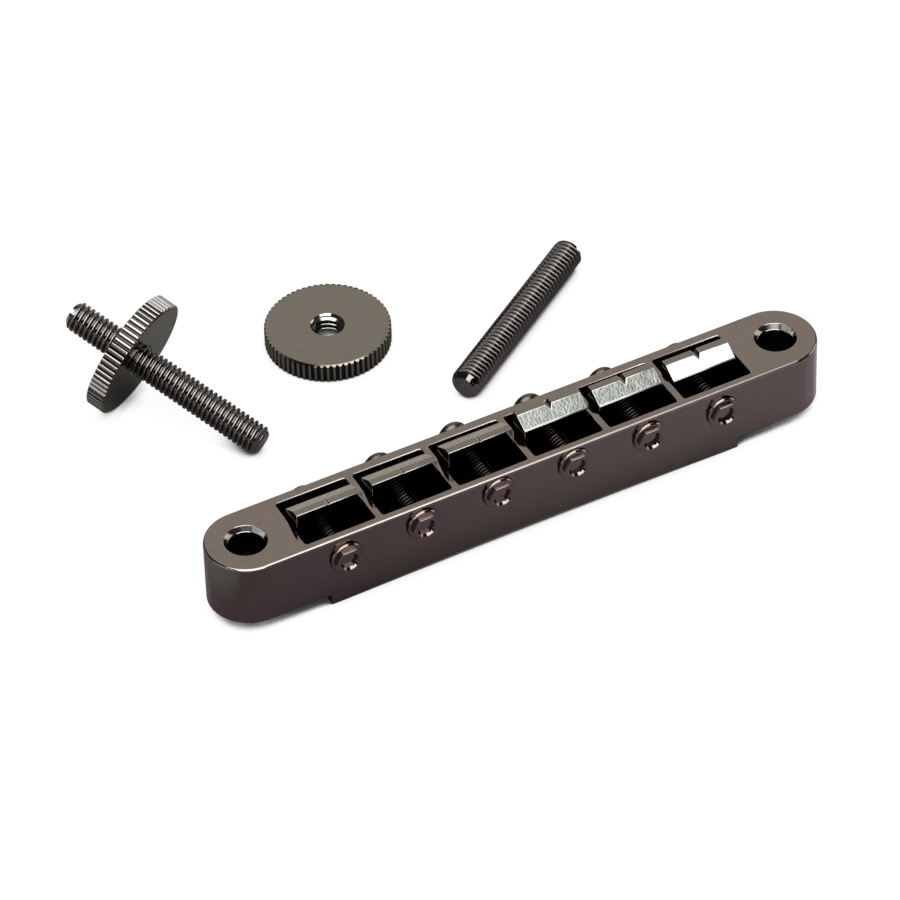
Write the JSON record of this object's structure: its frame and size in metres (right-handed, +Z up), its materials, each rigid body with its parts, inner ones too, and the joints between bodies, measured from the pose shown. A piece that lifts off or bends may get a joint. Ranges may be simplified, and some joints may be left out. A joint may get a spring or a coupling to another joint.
{
  "type": "tune-o-matic bridge",
  "caption": "Guitar bridge in black nickel with adjustable saddles, laid out with its threaded posts and knurled thumb wheels.",
  "frame": {"origin": "midway between the two post holes, on the plane of the ends' undersides that rests on the wheels", "axes": "+X along the bridge from bass to treble, +Y from the screw heads to the rear, +Z up"},
  "size_m": [0.0844, 0.0545, 0.0162],
  "materials": {
    "body_plating": "polished black nickel",
    "saddle_plating": "polished black nickel",
    "screw_plating": "polished black nickel",
    "wheel_plating": "polished black nickel",
    "post_plating": "polished black nickel"
  },
  "bodies": {
    "bridge": {"bridge_body": "body_plating", "thumb_wheel_b": "wheel_plating", "post_b": "post_plating"},
    "saddle_1": {"saddle_1": "saddle_plating"},
    "screw_1": {"intonation_screw_1": "screw_plating", "screw_cap_1": "screw_plating"},
    "saddle_2": {"saddle_2": "saddle_plating"},
    "screw_2": {"intonation_screw_2": "screw_plating", "screw_cap_2": "screw_plating"},
    "saddle_3": {"saddle_3": "saddle_plating"},
    "screw_3": {"intonation_screw_3": "screw_plating", "screw_cap_3": "screw_plating"},
    "saddle_4": {"saddle_4": "saddle_plating"},
    "screw_4": {"intonation_screw_4": "screw_plating", "screw_cap_4": "screw_plating"},
    "saddle_5": {"saddle_5": "saddle_plating"},
    "screw_5": {"intonation_screw_5": "screw_plating", "screw_cap_5": "screw_plating"},
    "saddle_6": {"saddle_6": "saddle_plating"},
    "screw_6": {"intonation_screw_6": "screw_plating", "screw_cap_6": "screw_plating"},
    "post_a": {"post_a": "post_plating"},
    "wheel_a": {"thumb_wheel_a": "wheel_plating"}
  },
  "joints": [
    {"name": "saddle_1_travel", "type": "slide", "parent": "bridge", "child": "saddle_1", "axis": [0, 1, 0], "range_m": [-0.00247, 0.00178]},
    {"name": "screw_1_turn", "type": "hinge", "parent": "bridge", "child": "screw_1", "pos_m": [-0.02625, 0, 0.00536], "axis": [0, 1, 0], "range_deg": [-1282.1, 1778.9]},
    {"name": "saddle_2_travel", "type": "slide", "parent": "bridge", "child": "saddle_2", "axis": [0, 1, 0], "range_m": [-0.00285, 0.0014]},
    {"name": "screw_2_turn", "type": "hinge", "parent": "bridge", "child": "screw_2", "pos_m": [-0.01575, 0, 0.00598], "axis": [0, 1, 0], "range_deg": [-1008.5, 2052.5]},
    {"name": "saddle_3_travel", "type": "slide", "parent": "bridge", "child": "saddle_3", "axis": [0, 1, 0], "range_m": [-0.0028, 0.00145]},
    {"name": "screw_3_turn", "type": "hinge", "parent": "bridge", "child": "screw_3", "pos_m": [-0.00525, 0, 0.00629], "axis": [0, 1, 0], "range_deg": [-1044.5, 2016.5]},
    {"name": "saddle_4_travel", "type": "slide", "parent": "bridge", "child": "saddle_4", "axis": [0, 1, 0], "range_m": [-0.00267, 0.00158]},
    {"name": "screw_4_turn", "type": "hinge", "parent": "bridge", "child": "screw_4", "pos_m": [0.00525, 0, 0.00629], "axis": [0, 1, 0], "range_deg": [-1138.1, 1922.9]},
    {"name": "saddle_5_travel", "type": "slide", "parent": "bridge", "child": "saddle_5", "axis": [0, 1, 0], "range_m": [-0.00267, 0.00158]},
    {"name": "screw_5_turn", "type": "hinge", "parent": "bridge", "child": "screw_5", "pos_m": [0.01575, 0, 0.00598], "axis": [0, 1, 0], "range_deg": [-1138.1, 1922.9]},
    {"name": "saddle_6_travel", "type": "slide", "parent": "bridge", "child": "saddle_6", "axis": [0, 1, 0], "range_m": [-0.00267, 0.00158]},
    {"name": "screw_6_turn", "type": "hinge", "parent": "bridge", "child": "screw_6", "pos_m": [0.02625, 0, 0.00536], "axis": [0, 1, 0], "range_deg": [-1138.1, 1922.9]},
    {"name": "wheel_a_travel", "type": "slide", "parent": "bridge", "child": "wheel_a", "axis": [-0.4745, 0.8208, 0.3181], "range_m": [0, 0.007]},
    {"name": "post_a_turn", "type": "hinge", "parent": "bridge", "child": "post_a", "pos_m": [-0.02334, 0.02305, 0.00011], "axis": [-0.4745, 0.8208, 0.3181], "range_deg": [-3600.5, 0.5]}
  ],
  "couplings": [
    {"joint": "screw_1_turn", "follows": "saddle_1_travel", "rad_per_m": -12566},
    {"joint": "screw_2_turn", "follows": "saddle_2_travel", "rad_per_m": -12566},
    {"joint": "screw_3_turn", "follows": "saddle_3_travel", "rad_per_m": -12566},
    {"joint": "screw_4_turn", "follows": "saddle_4_travel", "rad_per_m": -12566},
    {"joint": "screw_5_turn", "follows": "saddle_5_travel", "rad_per_m": -12566},
    {"joint": "screw_6_turn", "follows": "saddle_6_travel", "rad_per_m": -12566},
    {"joint": "post_a_turn", "follows": "wheel_a_travel", "rad_per_m": -8976}
  ]
}
